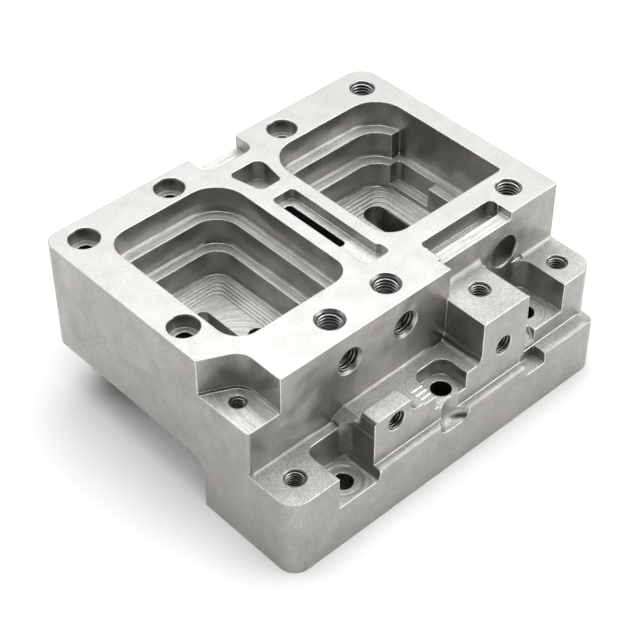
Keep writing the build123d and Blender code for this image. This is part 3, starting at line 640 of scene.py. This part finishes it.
def lead_in(tree, turns):
    """Size of the section along the helix: it grows out of the wall and sinks back at the end."""
    along = node(tree, "GeometryNodeSplineParameter")
    wound = node(
        tree, "ShaderNodeMath", {0: along.outputs["Factor"], 1: turns}, operation="MULTIPLY"
    )
    left = node(tree, "ShaderNodeMath", {0: turns, 1: wound.outputs[0]}, operation="SUBTRACT")
    nearest = node(
        tree, "ShaderNodeMath", {0: wound.outputs[0], 1: left.outputs[0]}, operation="MINIMUM"
    )
    return node(
        tree, "ShaderNodeMapRange",
        {"Value": nearest.outputs[0], "From Max": LEAD_TURNS, "To Min": SMALLEST_SCALE},
    )


def thread_tree():
    """Geometry Nodes: the hole points in, one wound ridge at each of them out."""
    tree = bpy.data.node_groups.new("thread_winder", "GeometryNodeTree")
    face = tree.interface
    face.new_socket("Holes", in_out="INPUT", socket_type="NodeSocketGeometry")
    for name in ("Bore radius", "Pitch", "Threaded length"):
        face.new_socket(name, in_out="INPUT", socket_type="NodeSocketFloat")
    face.new_socket("Metal", in_out="INPUT", socket_type="NodeSocketMaterial")
    face.new_socket("Threads", in_out="OUTPUT", socket_type="NodeSocketGeometry")
    start = node(tree, "NodeGroupInput")
    holes, radius, pitch, length, metal = (start.outputs[i] for i in range(5))

    turns = node(tree, "ShaderNodeMath", {0: length, 1: pitch}, operation="DIVIDE")
    drop = node(tree, "ShaderNodeMath", {0: length, 1: -1.0}, operation="MULTIPLY")
    helix = node(
        tree, "GeometryNodeCurveSpiral",
        {"Resolution": STEPS_PER_TURN, "Rotations": turns.outputs[0], "Start Radius": radius,
         "End Radius": radius, "Height": drop.outputs[0]},
    )
    upright = node(tree, "GeometryNodeSetCurveNormal", {"Curve": helix.outputs[0]}, mode="Z_UP")
    section = thread_section(tree, pitch)
    ridge = node(
        tree, "GeometryNodeCurveToMesh",
        {"Curve": upright.outputs[0], "Profile Curve": section.outputs[0], "Fill Caps": True,
         "Scale": lead_in(tree, turns.outputs[0]).outputs[0]},
    )
    axis = node(
        tree, "GeometryNodeInputNamedAttribute", {"Name": "mouth_direction"},
        data_type="FLOAT_VECTOR",
    )
    turn = node(
        tree, "FunctionNodeAlignRotationToVector", {"Vector": axis.outputs[0]}, axis="Z"
    )
    copies = node(
        tree, "GeometryNodeInstanceOnPoints",
        {"Points": holes, "Instance": ridge.outputs[0], "Rotation": turn.outputs[0]},
    )
    real = node(tree, "GeometryNodeRealizeInstances", {0: copies.outputs[0]})
    dressed = node(
        tree, "GeometryNodeSetMaterial", {"Geometry": real.outputs[0], "Material": metal}
    )
    node(tree, "NodeGroupOutput", {0: dressed.outputs[0]})
    return tree


winder = thread_tree()
print("thread winder with", len(winder.nodes), "nodes")

# %% [markdown]
# ## Where the threads go
# Each hole is one vertex at the foot of its countersink, and carries the direction in which
# its mouth opens. Holes of one size and depth share one object. The two pairs of ports cross
# inside the block, so their threads end where the bores meet.

# %% Wind the threads
UP = (0, 0, 1)
FORWARD = (0, -1, 0)
THREADS = {
    "m10_top_port_threads": (10.0, 1.5, 7.2, UP, ((-34.5, -36.1, 74.0), (-6.3, -36.1, 74.0))),
    "m10_front_port_threads": (
        10.0, 1.5, 5.0, FORWARD, ((-34.5, -45.8, 61.7), (-6.3, -45.8, 61.7))
    ),
    "m10_cover_threads": (10.0, 1.5, 15.0, UP, ((68.0, -28.5, 74.6), (72.5, 58.0, 74.6))),
    "m8_pad_threads": (8.0, 1.25, 14.0, UP, ((-71.9, -58.1, 36.6), (73.5, -52.0, 47.6))),
    "m8_tall_block_threads": (8.0, 1.25, 10.5, UP, ((29.2, -50.9, 59.7),)),
    "m8_small_block_threads": (8.0, 1.25, 5.5, FORWARD, ((-29.1, -65.6, 41.7),)),
    "m8_tall_block_front_threads": (8.0, 1.25, 10.5, FORWARD, ((27.9, -65.6, 42.5),)),
    "m6_corner_threads": (6.0, 1.0, 10.5, UP, ((-75.3, -32.3, 58.1),)),
}


def wind(name, diameter, pitch, length, direction, mouths):
    """One object that holds the thread of every hole given by its mouth, in millimetres."""
    points = bpy.data.meshes.new(name)
    points.from_pydata([Vector(mouth) * MM for mouth in mouths], [], [])
    directions = points.attributes.new("mouth_direction", "FLOAT_VECTOR", "POINT")
    for entry in directions.data:
        entry.vector = direction
    piece = bpy.data.objects.new(name, points)
    bpy.context.scene.collection.objects.link(piece)
    winding = piece.modifiers.new("winding", "NODES")
    winding.node_group = winder
    sizes = {
        "Bore radius": diameter / 2 * MM,
        "Pitch": pitch * MM,
        "Threaded length": length * MM,
        "Metal": clean_thread if direction == UP else side_hole_thread,
    }
    for item in winder.interface.items_tree:
        if item.in_out == "INPUT" and item.name in sizes:
            winding[item.identifier] = sizes[item.name]
    wound = piece.evaluated_get(bpy.context.evaluated_depsgraph_get())
    mesh = bpy.data.meshes.new_from_object(wound)
    piece.modifiers.clear()
    piece.data = mesh
    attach(piece, "root")
    return piece


wound_threads = [wind(name, *facts) for name, facts in THREADS.items()]
for piece in wound_threads:
    print(piece.name, len(piece.data.polygons), "faces")

# %% [markdown]
# ## Studio
# The photograph was taken on white paper under large soft lights. What a metal shows is what it
# mirrors: the tops mirror the lights above and behind, so they come out nearly white, the outer
# walls mirror the paper, and the walls of the recesses mirror the dark room above. So the lamps of
# the metal shine on the metal alone. The paper has a light of its own nearly straight above it,
# wide enough to leave no more than a soft dark patch under the overhang. Farther out the paper
# glows by itself and runs into a white backdrop, which the metal mirrors too, so the picture has
# no horizon. Above the backdrop the room is dark to the metal, which gives it its contrast, and
# white to the camera.

# %% Paper
PAPER_SIZE = 12.0
WHITE = (1, 1, 1, 1)
GLOW_STARTS = 0.35
GLOW_IS_FULL = 1.00


def background_rays(tree):
    """1 for rays that show a background: straight to the camera, mirrored or through glass."""
    ray = node(tree, "ShaderNodeLightPath")
    direct = node(
        tree, "ShaderNodeMath",
        {0: ray.outputs["Is Camera Ray"], 1: ray.outputs["Is Glossy Ray"]}, operation="MAXIMUM",
    )
    return node(
        tree, "ShaderNodeMath", {0: direct.outputs[0], 1: ray.outputs["Is Transmission Ray"]},
        operation="MAXIMUM",
    )


def studio_paper():
    """Matt white paper that glows where it runs out towards the horizon."""
    material = bpy.data.materials.new("studio_paper")
    material.use_nodes = True
    tree = material.node_tree
    tree.nodes.clear()
    matt = node(tree, "ShaderNodeBsdfDiffuse", {"Color": WHITE})
    place = node(tree, "ShaderNodeTexCoord")
    away = node(tree, "ShaderNodeVectorMath", {0: place.outputs["Object"]}, operation="LENGTH")
    far = node(
        tree, "ShaderNodeMapRange",
        {"Value": away.outputs["Value"], "From Min": GLOW_STARTS, "From Max": GLOW_IS_FULL},
        interpolation_type="SMOOTHSTEP",
    )
    strength = node(
        tree, "ShaderNodeMath", {0: far.outputs[0], 1: background_rays(tree).outputs[0]},
        operation="MULTIPLY",
    )
    glow = node(tree, "ShaderNodeEmission", {"Color": WHITE, "Strength": strength.outputs[0]})
    both = node(tree, "ShaderNodeAddShader", {0: matt.outputs[0], 1: glow.outputs[0]})
    node(tree, "ShaderNodeOutputMaterial", {"Surface": both.outputs[0]})
    return material


half = PAPER_SIZE / 2
paper_mesh = bpy.data.meshes.new("paper")
paper_mesh.from_pydata(
    [(-half, -half, 0), (half, -half, 0), (half, half, 0), (-half, half, 0)], [], [(0, 1, 2, 3)]
)
paper_mesh.materials.append(studio_paper())
paper = bpy.data.objects.new("paper", paper_mesh)
bpy.context.scene.collection.objects.link(paper)
print("paper", PAPER_SIZE, "m wide")

# %% [markdown]
# ## Lamps
# Each lamp is a square that faces the middle of the part. It is given by the direction it stands
# in, its distance, its size and its power, and it shines on the things of one collection.

# %% Lamps
metal_pieces = bpy.data.collections.new("metal_pieces")
for piece in [housing] + wound_threads:
    metal_pieces.objects.link(piece)
paper_alone = bpy.data.collections.new("paper_alone")
paper_alone.objects.link(paper)


def soft_light(name, direction, distance, size, power, shines_on):
    """Square soft light that shines from one direction at the things of one collection."""
    data = bpy.data.lights.new(name, "AREA")
    data.shape = "SQUARE"
    data.size = size
    data.energy = power
    light = bpy.data.objects.new(name, data)
    light.location = Vector(direction).normalized() * distance
    light.rotation_euler = Vector(direction).to_track_quat("Z", "Y").to_euler()
    bpy.context.scene.collection.objects.link(light)
    light.light_linking.receiver_collection = shines_on
    return light


LAMPS = {
    "key_light": ((0.20, 0.22, 0.95), 1.5, 1.3, 12.6, metal_pieces),
    "back_light": ((0.52, 0.56, 0.62), 1.7, 1.2, 3.7, metal_pieces),
    "left_light": ((-0.52, 0.54, 0.66), 1.6, 1.0, 3.8, metal_pieces),
    "right_light": ((0.58, -0.60, 0.48), 1.6, 1.3, 13.0, metal_pieces),
    "thread_light": ((-0.15, -0.16, 0.97), 1.5, 0.6, 1.8, metal_pieces),
    "paper_light": ((0.06, 0.0, 1.0), 1.5, 2.1, 45.0, paper_alone),
}
for name, facts in LAMPS.items():
    lamp = soft_light(name, *facts)
    print(lamp.name, lamp.data.energy, "W")

# %% [markdown]
# ## Room
# The height of a ray's direction, 0 at the horizon and 1 straight up, tells the backdrop from the
# dark room above it. The camera never sees that room: a ray that comes straight from it is white.

# %% Room
ROOM_COLOUR = "#1c1c1c"
BACKDROP_ENDS = 0.10
ROOM_BEGINS = 0.26


def white_room():
    """White where the camera looks and low at the horizon, dark higher up."""
    world = bpy.data.worlds.new("room")
    world.use_nodes = True
    tree = world.node_tree
    tree.nodes.clear()
    direction = node(tree, "ShaderNodeTexCoord")
    parts = node(tree, "ShaderNodeSeparateXYZ", {"Vector": direction.outputs["Generated"]})
    backdrop = node(
        tree, "ShaderNodeMapRange",
        {"Value": parts.outputs["Z"], "From Min": ROOM_BEGINS, "From Max": BACKDROP_ENDS},
        interpolation_type="SMOOTHSTEP",
    )
    low_backdrop = node(
        tree, "ShaderNodeMath", {0: backdrop.outputs[0], 1: background_rays(tree).outputs[0]},
        operation="MULTIPLY",
    )
    looking = node(tree, "ShaderNodeLightPath")
    seen_backdrop = node(
        tree, "ShaderNodeMath",
        {0: low_backdrop.outputs[0], 1: looking.outputs["Is Camera Ray"]}, operation="MAXIMUM",
    )
    colour = node(
        tree, "ShaderNodeMix",
        {0: seen_backdrop.outputs[0], 6: linear(ROOM_COLOUR), 7: WHITE}, data_type="RGBA",
    )
    room = node(tree, "ShaderNodeBackground", {"Color": colour.outputs[2], "Strength": 1.0})
    node(tree, "ShaderNodeOutputWorld", {"Surface": room.outputs[0]})
    return world


bpy.context.scene.world = white_room()
bpy.context.scene.view_settings.view_transform = "Standard"
print("room with", len(bpy.context.scene.world.node_tree.nodes), "nodes")
